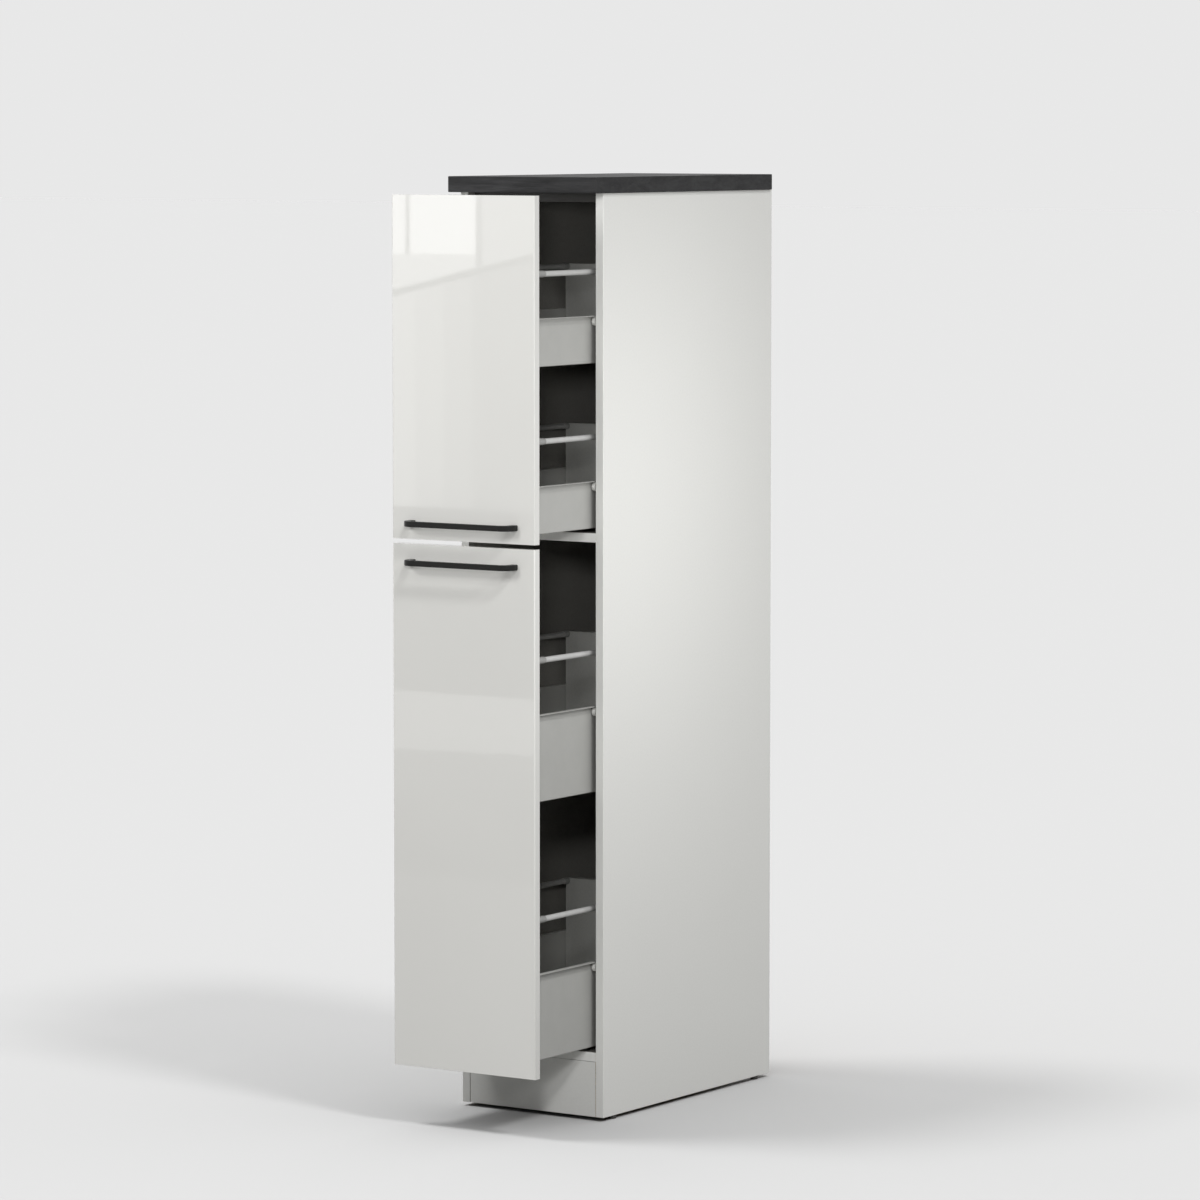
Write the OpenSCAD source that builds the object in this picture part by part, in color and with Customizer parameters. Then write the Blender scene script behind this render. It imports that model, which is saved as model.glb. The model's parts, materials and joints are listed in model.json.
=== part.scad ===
// Pull out larder unit: a tall, narrow kitchen cabinet whose two fronts each draw out a pair of
// steel-sided drawers on roller runners. It stands as shown, with both fronts drawn partly out.
// X runs to the right, Y to the back and Z up, in millimetres. The origin lies on the floor,
// under the middle of the unit with its fronts as shown.

/* [Cabinet] */
// Width over the two side panels
carcass_w = 300; // [280:1:400]
// Depth of the side panels
carcass_d = 553; // [545:1:620]
// Height of the side panels
side_h = 1615; // [1450:1:1800]
// Thickness of the side panels, boards and top rails
board_t = 16; // [15:0.5:19]
// Height of the bottom board's underside above the floor
bottom_z = 105; // [80:1:130]
// Height of the room above the middle board
upper_room = 589; // [520:1:650]
// Width of the two flat rails under the worktop
top_rail_w = 100; // [70:1:140]
// Distance from the panels' front edges back to the front top rail
top_rail_set = 20; // [0:1:40]

/* [Back and plinth] */
// Thickness of the back panels
back_t = 3; // [2.5:0.1:5]
// Distance from the back panels to the rear edges of the side panels
back_set = 9; // [5:0.5:15]
// Depth of the grooves that hold the back panels
groove_depth = 8; // [4:0.5:10]
// Play of a back panel in its grooves
groove_play = 0.3; // [0.1:0.05:0.6]
// Height of the strip that covers the joint between the back panels
strip_h = 24; // [16:1:40]
// Thickness of that strip
strip_t = 1.2; // [0.8:0.1:2]
// Distance from the panels' front edges back to the plinth board
plinth_set = 0.5; // [0:0.5:40]
// Gap between the plinth board and the floor
plinth_gap = 7; // [3:0.5:15]

/* [Worktop] */
// Thickness of the worktop
top_t = 28; // [20:1:40]
// Overhang of the worktop past the panels' front edges
top_front_over = 31.5; // [22:0.5:45]
// Overhang of the worktop past each side panel
top_side_over = 5; // [0:0.5:15]
// Distance from the worktop's rear edge to the panels' rear edges
top_back_set = 7; // [0:0.5:20]
// Radius of the worktop's long edges
top_edge_r = 2; // [0.5:0.5:6]

/* [Feet and fixings] */
// Height of the glides under the side panels
glide_h = 7; // [4:0.5:12]
// Diameter of a glide
glide_d = 14; // [10:0.5:15]
// Distance from a panel's front and rear edge to its glides
glide_set = 40; // [20:1:80]
// Diameter of a cam lock
cam_d = 15; // [12:0.5:18]
// Depth of a cam lock
cam_h = 12.5; // [9:0.5:13]
// Distance from a board's end to the middle of its cam locks
cam_end = 34; // [24:1:40]
// Distance from a board's front and rear edge to its cam locks
cam_edge = 50; // [30:1:90]
// Play round a cam lock in its pocket
cam_play = 0.1; // [0.05:0.05:0.3]
// Width and height of a wall bracket's plate
bracket_size = 40; // [30:1:50]
// Length of a wall bracket's leg on the side panel
bracket_leg = 55; // [40:1:80]
// Thickness of the wall brackets
bracket_t = 2.5; // [2:0.1:4]
// Radius of the holes for the wall screws
wall_screw_r = 3.2; // [2.5:0.1:5]

/* [Fronts] */
// Thickness of the fronts
front_t = 16; // [15:0.5:22]
// Gap between each side of a front and the cabinet's side
front_side_gap = 1.5; // [1:0.5:3]
// Gap between the two fronts
front_split = 8; // [3:0.5:12]
// Height by which the lower front laps the middle board
front_lap = 1.5; // [0.5:0.5:6]
// Gap between the upper front and the worktop
front_top_gap = 1.5; // [1:0.5:4]
// Gap between a closed front and the cabinet
close_gap = 2; // [1:0.5:4]
// Radius of the fronts' upright edges
front_edge_r = 2; // [0.5:0.5:4]
// Distance by which both fronts are drawn out as shown
pull_out = 192.2; // [150:0.1:230]

/* [Handles] */
// Length of a handle
handle_l = 227; // [120:1:240]
// Distance from the front to the handle's outer face
handle_reach = 30; // [26:1:45]
// Height of the handle's bar
handle_h = 10; // [8:0.5:14]
// Thickness of the bar at its middle
handle_bar_t = 7.5; // [5:0.5:10]
// Width of each leg of the handle
handle_leg_w = 13.5; // [10:0.5:18]
// Outer radius of the handle's bends
handle_bend_r = 22; // [16:1:26]
// Inner radius of the handle's bends
handle_inner_r = 10; // [4:1:14]
// Height of the upper handle's middle above the lower edge of its front
handle_up = 28; // [20:0.5:60]
// Depth of the lower handle's middle below the upper edge of its front
handle_down = 31.5; // [20:0.5:60]
// Radius of a handle screw's shank
screw_r = 2; // [1.5:0.1:2.5]
// Radius of a handle screw's head
screw_head_r = 4; // [3:0.1:4.5]
// Depth of a handle screw's head
screw_head_h = 2.8; // [2:0.1:4]
// Length of screw inside the handle's leg
screw_grip = 10; // [6:0.5:14]
// Play round a handle screw
screw_play = 0.25; // [0.1:0.05:0.5]
// Space past a handle screw's end in its hole
screw_end_play = 1; // [0.5:0.5:2]

/* [Drawers] */
// Length of a drawer's steel sides
drawer_l = 497; // [440:1:510]
// Height of drawer 1's rim above the middle board
rim_1 = 377.5; // [340:0.5:440]
// Height of drawer 2's rim above the middle board
rim_2 = 90.5; // [88:0.5:110]
// Height of drawer 3's rim above the bottom board
rim_3 = 609.5; // [560:0.5:700]
// Height of drawer 4's rim above the bottom board
rim_4 = 160; // [156:0.5:200]
// Height of the steel sides of drawers 1 and 2
low_side_h = 83; // [70:0.5:86]
// Height of the steel sides of drawers 3 and 4
high_side_h = 152; // [120:0.5:154]
// Height of the rails above the rims of drawers 1 and 2
low_rail_rise = 75.5; // [50:0.5:90]
// Height of the rails above the rims of drawers 3 and 4
high_rail_rise = 92; // [60:0.5:110]
// Thickness of the steel in the drawers and runners
steel_t = 1.2; // [1:0.1:1.5]
// Inner radius of the bends in the steel sides
bend_r = 0.8; // [0.4:0.1:1.2]
// Width of the drawer's foot, folded in under the base
foot_w = 12; // [8:0.5:20]
// Width of the tab folded in behind the drawer's back
tab_w = 14; // [8:0.5:20]
// Thickness of the drawer's base
base_t = 16; // [12:0.5:18]
// Thickness of the drawer's back
drawer_back_t = 16; // [12:0.5:18]
// Side play of the base and the back between the steel sides
drawer_play = 0.3; // [0.1:0.05:0.6]
// Gap between the base and the tabs and brackets above it
base_gap = 1; // [0.5:0.5:3]
// Height of the drawer's back above the middle of its rails
back_over_rail = 5; // [0:0.5:8]
// Diameter of a rail
rail_d = 10; // [8:0.5:11]
// Distance from a steel side's outer face to the middle of its rail
rail_set = 5.5; // [4:0.5:9]
// Diameter of the sleeves on the rails' ends
sleeve_d = 12; // [11.5:0.5:15]
// Length of the sleeve at the rail's front end
front_sleeve_l = 60; // [30:1:80]
// Length of the sleeve at the rail's rear end
rear_sleeve_l = 14; // [8:1:30]
// Thickness of the closed end of a sleeve
sleeve_end_t = 3; // [2:0.5:5]
// Play of a rail in its sleeves
sleeve_play = 0.05; // [0.02:0.01:0.2]
// Thickness of the brackets that hold the front
clip_t = 1.5; // [1:0.1:2.5]
// Length of a front bracket along the drawer's side
clip_l = 30; // [20:1:50]
// Width of a front bracket along the front
clip_w = 20; // [12:1:30]

/* [Runners] */
// Free space between a drawer's side and the side panel
runner_space = 12.5; // [12:0.5:16]
// Length of the runners on the side panels
runner_l = 500; // [450:1:520]
// Distance from the panels' front edges back to the runners
runner_set = 3; // [1:0.5:8]
// Diameter of the roller at the front of each runner
roller_d = 16; // [14:0.5:20]
// Diameter of the wheel at the rear of each drawer side
wheel_d = 12; // [10:0.5:14]
// Distance from the panels' front edges back to the rollers' axis
roller_y = 10.5; // [10:0.5:16]
// Distance from a drawer side's rear end to its wheel's axis
wheel_set = 7; // [7:0.5:14]
// Space at each face of a roller or wheel
roller_side_gap = 2.15; // [1.9:0.05:2.6]
// Radius of the pins that carry the rollers and wheels
pin_r = 2; // [1.5:0.1:2.5]
// Play of a roller on its pin
pin_play = 0.05; // [0.02:0.01:0.1]
// Radius of the shoulder and the head on each pin
pin_head_r = 3.2; // [2.8:0.1:4]
// Thickness of the head of a pin or a runner screw
pin_head_t = 0.8; // [0.5:0.1:1]
// Gap at a roller's face to its shoulder and head
pin_end_play = 0.2; // [0.1:0.05:0.4]
// Gap between a roller and the steel that runs on it
roll_gap = 0.3; // [0.2:0.05:0.5]
// Gap between a drawer's flange and the runner's upper flange
flange_gap = 1; // [0.6:0.1:2]
// Full travel of a drawer, from closed to its stop
travel = 375; // [330:1:400]
// Height of the stops in the runners
stop_h = 2; // [1:0.1:3]
// Length of each stop
stop_l = 4; // [3:0.5:8]
// Distances of the runner screws behind the runner's front end
runner_screw_y = [60, 250, 440];

/* [Hidden] */
$fn = 48;
eps = 0.01;

DRAWER_PIECES = ["runners", "rollers", "side_left", "side_right", "base", "back", "rails",
                 "rail_sleeves", "front_brackets", "wheels"];

// The cabinet's inner faces, and where its boards and back panels lie
inner_x = carcass_w / 2 - board_t;
carcass_top = glide_h + side_h;
middle_z = carcass_top - upper_room - board_t;
back_y = carcass_d - back_set - back_t;
split_z = middle_z + board_t / 2;
plate_x = inner_x + groove_depth - groove_play;
edge_gap = 0.5;

// The fronts as shown: their back and outer faces, and the edges next to the split
door_y = -(pull_out + close_gap);
door_face_y = door_y - front_t;
front_half = carcass_w / 2 - front_side_gap;
lower_front_top = middle_z + front_lap;
upper_front_bottom = lower_front_top + front_split;
upper_front_top = carcass_top - front_top_gap;
upper_handle_z = upper_front_bottom + handle_up;
lower_handle_z = lower_front_top - handle_down;
handle_screw_x = handle_l / 2 - handle_leg_w / 2;

// The drawers' sides: outer face, inner face, and the rail's place beside them
drawer_x = inner_x - runner_space;
wall_x = drawer_x - steel_t;
rail_x = drawer_x - rail_set;
drawer_end_y = door_y + drawer_l;
back_board_y = drawer_end_y - steel_t - drawer_back_t;
base_x = wall_x - max(bend_r, drawer_play);

// The space between a drawer's side and the panel holds the rollers, the wheels and the
// runner's channel, each measured inwards from the panel's face
roller_mid = (steel_t + runner_space) / 2;
roller_w = runner_space - steel_t - 2 * roller_side_gap;
flange_w = runner_space - 2 * steel_t;
channel_w = roller_mid + roller_w / 2 + pin_end_play;
channel_y = roller_y + roller_d / 2 + 3 * steel_t;
wheel_y = drawer_end_y - wheel_set;
stop_y = wheel_y + pull_out - travel - wheel_d / 2;

// The unit stands with its middle over the origin, fronts and handles included
reach = handle_reach - door_face_y;
shift_y = (reach - carcass_d) / 2;

// Each drawer from the top: its room, and the height of its rim above that room's board
upper_drawers = [1, 2];
rims = [rim_1, rim_2, rim_3, rim_4];
function upper(d) = len(search(d, upper_drawers)) > 0;
function rim_z(d) = (upper(d) ? middle_z : bottom_z) + board_t + rims[d - 1];
function foot_z(d) = rim_z(d) - (upper(d) ? low_side_h : high_side_h);
function base_top(d) = foot_z(d) + steel_t + base_t;
function rail_z(d) = rim_z(d) + (upper(d) ? low_rail_rise : high_rail_rise);
function flange_z(d) = rim_z(d) - steel_t;
function roller_z(d) = flange_z(d) - roll_gap - roller_d / 2;
function channel_top(d) = flange_z(d) - flange_gap;
function wheel_z(d) = channel_top(d) - steel_t - roll_gap - wheel_d / 2;
function channel_floor(d) = wheel_z(d) - wheel_d / 2 - roll_gap;

// ---- helpers ----

module in_place() { translate([0, shift_y, 0]) children(); }

module both_sides() {
    children();
    mirror([1, 0, 0]) children();
}

// A board between two opposite corners
module board(low, high) { translate(low) cube(high - low); }

// A round bar along X, Y or Z from its start
module bar_x(start, r, l) { translate(start) rotate([0, 90, 0]) cylinder(r = r, h = l); }
module bar_y(start, r, l) { translate(start) rotate([-90, 0, 0]) cylinder(r = r, h = l); }

// A flat outline in Y and Z, carried along X from its start
module along_x(start, l) {
    translate([start, 0, 0]) rotate([90, 0, 90]) linear_extrude(l) children();
}

// A flat outline in X and Z, carried along Y from its start
module along_y(start, l) {
    translate([0, start + l, 0]) rotate([90, 0, 0]) linear_extrude(l) children();
}

// A rectangle with round corners, between two opposite corners
module round_rect(low, high, r) {
    translate(low + [r, 0]) square(high - low - [2 * r, 0]);
    translate(low + [0, r]) square(high - low - [0, 2 * r]);
    for (x = [low[0] + r, high[0] - r], y = [low[1] + r, high[1] - r])
        translate([x, y]) circle(r);
}

// A quarter of a bend in sheet steel, round its middle, in the quadrant that turn gives
module bend(middle, turn) {
    translate(middle) rotate(turn) intersection() {
        difference() {
            circle(bend_r + steel_t);
            circle(bend_r);
        }
        square(bend_r + steel_t);
    }
}

// ---- cabinet ----

module side_panel() {
    in_place() color("whitesmoke") difference() {
        board([inner_x, 0, glide_h], [carcass_w / 2, carcass_d, carcass_top]);
        board([inner_x - eps, back_y - groove_play / 2, glide_h - eps],
              [inner_x + groove_depth, back_y + back_t + groove_play / 2, carcass_top + eps]);
    }
}

// The cam locks of a board with its underside at z or, with play and a start below z, the
// pockets that they turn in
module cams(y_list, z, play = 0, below = 0) {
    both_sides() for (y = y_list)
        translate([inner_x - cam_end, y, z - below])
            cylinder(r = cam_d / 2 + play, h = cam_h + play + below);
}

shelf_cam_y = [cam_edge, back_y - cam_edge];
front_rail_y = top_rail_set;
rear_rail_y = back_y - top_rail_w;
rail_cam_y = [front_rail_y + top_rail_w / 2, rear_rail_y + top_rail_w / 2];
top_rail_z = carcass_top - board_t;

module flat_board(y_low, y_high, z, cam_y) {
    in_place() color("dimgray") difference() {
        board([-inner_x, y_low, z], [inner_x, y_high, z + board_t]);
        cams(cam_y, z, cam_play, eps);
    }
}

module bottom_board() { flat_board(0, back_y, bottom_z, shelf_cam_y); }
module middle_board() { flat_board(0, back_y, middle_z, shelf_cam_y); }

module front_top_rail() {
    flat_board(front_rail_y, front_rail_y + top_rail_w, top_rail_z, [rail_cam_y[0]]);
}

module rear_top_rail() {
    flat_board(rear_rail_y, rear_rail_y + top_rail_w, top_rail_z, [rail_cam_y[1]]);
}

module cam_locks() {
    in_place() color("silver") {
        cams(shelf_cam_y, bottom_z);
        cams(shelf_cam_y, middle_z);
        cams(rail_cam_y, top_rail_z);
    }
}

bracket_x = inner_x - bracket_size;
bracket_z = top_rail_z - bracket_size;
wall_screw_x = inner_x - bracket_size / 2;
wall_screw_z = bracket_z + bracket_size / 2;

module back_panel(z_low, z_high) {
    board([-plate_x, back_y, z_low], [plate_x, back_y + back_t, z_high]);
}

module back_panel_lower() {
    in_place() color("gainsboro") back_panel(bottom_z, split_z - edge_gap);
}

module back_panel_upper() {
    in_place() color("gainsboro") difference() {
        back_panel(split_z + edge_gap, carcass_top);
        both_sides()
            bar_y([wall_screw_x, back_y - eps, wall_screw_z], 2 * wall_screw_r, back_t + 2 * eps);
    }
}

// A tee in section: its web fills the joint and its flange covers it from behind
module back_joint_strip() {
    in_place() color("white") along_x(-inner_x, 2 * inner_x) {
        translate([back_y + back_t, split_z - strip_h / 2]) square([strip_t, strip_h]);
        translate([back_y, split_z - edge_gap]) square([back_t + eps, 2 * edge_gap]);
    }
}

module plinth_board() {
    in_place() color("whitesmoke")
        board([-inner_x, plinth_set, plinth_gap], [inner_x, plinth_set + board_t, bottom_z]);
}

module worktop() {
    top_half = carcass_w / 2 + top_side_over;
    in_place() color([0.27, 0.27, 0.27]) along_x(-top_half, 2 * top_half)
        round_rect([-top_front_over, carcass_top],
                   [carcass_d - top_back_set, carcass_top + top_t], top_edge_r);
}

module glides() {
    in_place() color("black") both_sides() for (y = [glide_set, carcass_d - glide_set])
        translate([inner_x + board_t / 2, y, 0]) cylinder(d = glide_d, h = glide_h);
}

// Two steel angles: one leg on the side panel, the other on the back, with its screw hole
module wall_brackets() {
    in_place() color("silver") both_sides() difference() {
        union() {
            board([inner_x - bracket_t, back_y - bracket_leg, bracket_z],
                  [inner_x, back_y, top_rail_z]);
            board([bracket_x, back_y - bracket_t, bracket_z], [inner_x, back_y, top_rail_z]);
        }
        bar_y([wall_screw_x, back_y - bracket_t - eps, wall_screw_z], wall_screw_r,
              bracket_t + 2 * eps);
    }
}

// ---- fronts and handles ----

screw_hole_r = screw_r + screw_play;
screw_head_y = door_y - screw_head_h - screw_play;

module front(z_low, z_high, handle_z) {
    in_place() color([0.96, 0.96, 0.94]) difference() {
        translate([0, 0, z_low]) linear_extrude(z_high - z_low)
            round_rect([-front_half, door_face_y], [front_half, door_y], front_edge_r);
        both_sides() {
            bar_y([handle_screw_x, door_face_y - eps, handle_z], screw_hole_r, front_t + 2 * eps);
            bar_y([handle_screw_x, screw_head_y - screw_play, handle_z],
                  screw_head_r + screw_play, screw_head_h + 2 * screw_play + eps);
        }
    }
}

module front_upper() { front(upper_front_bottom, upper_front_top, upper_handle_z); }
module front_lower() { front(bottom_z, lower_front_top, lower_handle_z); }

// A bow in plan: straight out from the front, with its two far corners rounded
module bow(half_l, depth, r) {
    intersection() {
        round_rect([-half_l, -2 * r], [half_l, depth], r);
        translate([-half_l, 0]) square([2 * half_l, depth]);
    }
}

module handle(z) {
    in_place() color([0.12, 0.12, 0.12]) difference() {
        translate([0, door_face_y, z - handle_h / 2]) mirror([0, 1, 0])
            linear_extrude(handle_h) difference() {
                bow(handle_l / 2, handle_reach, handle_bend_r);
                translate([0, -eps])
                    bow(handle_l / 2 - handle_leg_w, handle_reach - handle_bar_t + eps,
                        handle_inner_r);
            }
        both_sides()
            bar_y([handle_screw_x, door_face_y - screw_grip - screw_end_play, z],
                  screw_r + pin_play, screw_grip + screw_end_play + eps);
    }
}

module handle_upper() { handle(upper_handle_z); }
module handle_lower() { handle(lower_handle_z); }

module handle_screws(z) {
    in_place() color("silver") both_sides() {
        bar_y([handle_screw_x, door_face_y - screw_grip, z], screw_r,
              screw_head_y - door_face_y + screw_grip + eps);
        bar_y([handle_screw_x, screw_head_y, z], screw_head_r, screw_head_h);
    }
}

module handle_screws_upper() { handle_screws(upper_handle_z); }
module handle_screws_lower() { handle_screws(lower_handle_z); }

// ---- drawers ----

// The right steel side in section: a foot under the base, the wall, and a flange out at the rim
module side_section(d) {
    translate([wall_x - foot_w, foot_z(d)]) square([foot_w - bend_r + eps, steel_t]);
    bend([wall_x - bend_r, foot_z(d) + steel_t + bend_r], -90);
    translate([wall_x, foot_z(d) + steel_t + bend_r])
        square([steel_t, flange_z(d) - foot_z(d) - steel_t - 2 * bend_r]);
    bend([drawer_x + bend_r, flange_z(d) - bend_r], 90);
    translate([drawer_x + bend_r - eps, flange_z(d)]) square([flange_w - bend_r, steel_t]);
}

module drawer_side(d) {
    tab_low = base_top(d) + base_gap;
    tab_high = flange_z(d) - 2 * bend_r;
    color([0.75, 0.75, 0.73]) {
        along_y(door_y, drawer_l) side_section(d);
        board([wall_x - tab_w, drawer_end_y - steel_t, tab_low],
              [wall_x + eps, drawer_end_y, tab_high]);
        wheel_pin(d);
    }
}

// The pin that carries a wheel: a shoulder on the steel side, the pin and its head
module wheel_pin(d) {
    outer = inner_x - roller_mid + roller_w / 2 + pin_end_play;
    inner = inner_x - roller_mid - roller_w / 2 - pin_end_play;
    bar_x([drawer_x - eps, wheel_y, wheel_z(d)], pin_head_r, inner - drawer_x + eps);
    bar_x([inner - eps, wheel_y, wheel_z(d)], pin_r, outer - inner + 2 * eps);
    bar_x([outer, wheel_y, wheel_z(d)], pin_head_r, pin_head_t);
}

// The pin that carries a roller: a shoulder on the runner, the pin and its head
module roller_pin(d) {
    outer = inner_x - roller_mid + roller_w / 2 + pin_end_play;
    inner = inner_x - roller_mid - roller_w / 2 - pin_end_play;
    bar_x([outer, roller_y, roller_z(d)], pin_head_r, inner_x - steel_t - outer + eps);
    bar_x([inner - eps, roller_y, roller_z(d)], pin_r, outer - inner + 2 * eps);
    bar_x([inner - pin_head_t, roller_y, roller_z(d)], pin_head_r, pin_head_t);
}

// A wheel with a groove in each face, turned round its bore
module roller(y, z, d) {
    groove_in = pin_r + pin_play + (d / 2 - pin_r) * 0.4;
    groove_out = pin_r + pin_play + (d / 2 - pin_r) * 0.7;
    groove_t = roller_w / 6;
    translate([inner_x - roller_mid - roller_w / 2, y, z]) rotate([0, 90, 0]) rotate_extrude()
        difference() {
            translate([pin_r + pin_play, 0]) square([d / 2 - pin_r - pin_play, roller_w]);
            for (face = [-eps, roller_w - groove_t + eps])
                translate([groove_in, face]) square([groove_out - groove_in, groove_t]);
        }
}

module rollers(d) {
    in_place() color("white") both_sides() roller(roller_y, roller_z(d), roller_d);
}

module wheels(d) {
    in_place() color("white") both_sides() roller(wheel_y, wheel_z(d), wheel_d);
}

// The right runner: a web on the panel, a channel that the drawer's wheel runs in, the roller's
// pin, screw heads, and the stop that ends the drawer's travel
module runner(d) {
    web_low = min(channel_floor(d) - steel_t, roller_z(d) - pin_head_r - steel_t);
    end_y = runner_set + runner_l;
    board([inner_x - steel_t, runner_set, web_low], [inner_x, end_y, channel_top(d)]);
    for (z = [channel_floor(d) - steel_t, channel_top(d) - steel_t])
        board([inner_x - channel_w, channel_y, z], [inner_x, end_y, z + steel_t]);
    roller_pin(d);
    for (y = runner_screw_y)
        bar_x([inner_x - steel_t - pin_head_t, runner_set + y, wheel_z(d)], pin_head_r,
              pin_head_t + eps);
    board([inner_x - channel_w, stop_y - stop_l, channel_floor(d) - eps],
          [inner_x, stop_y, channel_floor(d) + stop_h]);
}

module runners(d) { in_place() color([0.8, 0.8, 0.78]) both_sides() runner(d); }

module base(d) {
    in_place() color([0.7, 0.7, 0.68])
        board([-base_x, door_y, foot_z(d) + steel_t],
              [base_x, drawer_end_y - steel_t, base_top(d)]);
}

module back(d) {
    back_x = wall_x - drawer_play;
    in_place() color([0.75, 0.75, 0.73])
        board([-back_x, back_board_y, base_top(d)],
              [back_x, drawer_end_y - steel_t, rail_z(d) + back_over_rail]);
}

module rails(d) {
    in_place() color([0.9, 0.9, 0.88]) both_sides()
        bar_y([rail_x, door_y + sleeve_end_t, rail_z(d)], rail_d / 2,
              back_board_y - door_y - 2 * sleeve_end_t);
}

// A sleeve over a rail's end, closed at the end that meets the front or the back
module sleeve(y, l, d, closed_at_start) {
    difference() {
        bar_y([rail_x, y, rail_z(d)], sleeve_d / 2, l);
        bar_y([rail_x, closed_at_start ? y + sleeve_end_t : y - eps, rail_z(d)],
              rail_d / 2 + sleeve_play, l - sleeve_end_t + eps);
    }
}

module rail_sleeves(d) {
    in_place() color([0.55, 0.55, 0.53]) both_sides() {
        sleeve(door_y, front_sleeve_l, d, true);
        sleeve(back_board_y - rear_sleeve_l, rear_sleeve_l, d, false);
    }
}

// Steel angles inside the front corners, which hold the front to the drawer's sides
module front_brackets(d) {
    low = base_top(d) + base_gap;
    high = flange_z(d) - 4 * bend_r;
    in_place() color("silver") both_sides() {
        board([wall_x - clip_t, door_y, low], [wall_x, door_y + clip_l, high]);
        board([wall_x - clip_w, door_y, low], [wall_x, door_y + clip_t, high]);
    }
}

mirror([1, 0, 0]) side_panel();  // side_panel_left
side_panel();  // side_panel_right
bottom_board();
middle_board();
front_top_rail();
rear_top_rail();
back_panel_lower();
back_panel_upper();
back_joint_strip();
plinth_board();
worktop();
glides();
cam_locks();
wall_brackets();
front_upper();
handle_upper();
handle_screws_upper();
front_lower();
handle_lower();
handle_screws_lower();

for (d = [1:4]) {
    runners(d);
    rollers(d);
    in_place() mirror([1, 0, 0]) drawer_side(d);
    in_place() drawer_side(d);
    base(d);
    back(d);
    rails(d);
    rail_sleeves(d);
    front_brackets(d);
    wheels(d);
}
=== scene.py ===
"""The pull out larder unit, dressed for a studio picture.

Lengths are in metres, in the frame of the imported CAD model: X to the right, Y to the back, Z up.
Each new piece takes its place from the box of the CAD node that it stands for. Its surface is
worked out with numpy: an outline carried along a straight or bent path, or turned round an axis.
"""
import json
import math

import bmesh
import bpy
import numpy as np
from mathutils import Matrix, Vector

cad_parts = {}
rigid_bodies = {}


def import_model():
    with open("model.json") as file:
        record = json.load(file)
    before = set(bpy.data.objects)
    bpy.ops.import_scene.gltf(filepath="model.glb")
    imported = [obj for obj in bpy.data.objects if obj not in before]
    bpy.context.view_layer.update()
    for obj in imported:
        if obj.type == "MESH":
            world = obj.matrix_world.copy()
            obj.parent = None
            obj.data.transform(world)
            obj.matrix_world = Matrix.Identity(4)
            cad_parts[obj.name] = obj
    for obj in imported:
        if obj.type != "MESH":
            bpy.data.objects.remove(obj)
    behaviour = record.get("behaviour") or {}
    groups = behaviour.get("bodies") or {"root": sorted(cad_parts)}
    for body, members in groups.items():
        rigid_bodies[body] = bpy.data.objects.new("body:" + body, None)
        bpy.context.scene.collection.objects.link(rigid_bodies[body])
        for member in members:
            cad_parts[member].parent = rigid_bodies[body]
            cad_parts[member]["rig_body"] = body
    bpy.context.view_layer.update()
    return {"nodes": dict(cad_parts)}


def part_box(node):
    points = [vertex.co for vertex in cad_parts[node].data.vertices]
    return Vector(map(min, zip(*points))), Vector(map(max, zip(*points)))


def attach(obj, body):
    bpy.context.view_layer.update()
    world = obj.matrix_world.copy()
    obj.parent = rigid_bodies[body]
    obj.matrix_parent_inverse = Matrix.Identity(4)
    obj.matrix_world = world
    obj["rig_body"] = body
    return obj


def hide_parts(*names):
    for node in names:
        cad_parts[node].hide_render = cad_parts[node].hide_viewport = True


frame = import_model()

MM = 0.001
NODES = frame["nodes"]
DRAWERS = (1, 2, 3, 4)
SIDES = ((-1, "left"), (1, "right"))
PULLOUT = {1: "upper", 2: "upper", 3: "lower", 4: "lower"}


# ---------------------------------------------------------------- camera

CAMERA_PLACE = (5.39163, -8.10314, 1.76154)
CAMERA_YAW, CAMERA_PITCH = 0.5837, -0.0884
CAMERA_LENS, SENSOR_WIDTH = 165.14, 36.0
CAMERA_REACH = 300.0


def make_camera():
    """A camera with the photograph's place, heading, tilt and lens."""
    data = bpy.data.cameras.new("studio_camera")
    data.lens = CAMERA_LENS
    data.sensor_fit = "HORIZONTAL"
    data.sensor_width = SENSOR_WIDTH
    data.clip_end = CAMERA_REACH
    camera = bpy.data.objects.new("studio_camera", data)
    camera.location = CAMERA_PLACE
    camera.rotation_euler = (math.pi / 2 + CAMERA_PITCH, 0.0, CAMERA_YAW)
    bpy.context.scene.collection.objects.link(camera)
    bpy.context.scene.camera = camera


# ---------------------------------------------------------------- sky and floor

BACKDROP = (0.808, 0.808, 0.808, 1.0)
SKY_COLOUR, SKY_STRENGTH = (1.0, 1.0, 1.0, 1.0), 0.14
FLOOR_SEEN = (0.400, 0.400, 0.400, 1.0)
FLOOR_BOUNCE = (0.160, 0.160, 0.156, 1.0)
FLOOR_HALF = 80.0


def emptied(owner):
    """The node tree of a material or world, with nothing in it."""
    owner.use_nodes = True
    owner.node_tree.nodes.clear()
    return owner.node_tree


def shading(tree, kind, **inputs):
    """The output of a new shader whose inputs are set."""
    shader = tree.nodes.new("ShaderNode" + kind)
    for name, value in inputs.items():
        shader.inputs[name].default_value = value
    return shader.outputs[0]


def seen_ray(tree):
    """A socket that is 1 for rays from the camera, and for those that gloss and glass send on."""
    path = tree.nodes.new("ShaderNodeLightPath")
    seen = path.outputs["Is Camera Ray"]
    for name in ("Is Glossy Ray", "Is Transmission Ray"):
        largest = tree.nodes.new("ShaderNodeMath")
        largest.operation = "MAXIMUM"
        tree.links.new(seen, largest.inputs[0])
        tree.links.new(path.outputs[name], largest.inputs[1])
        seen = largest.outputs[0]
    return seen


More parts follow.
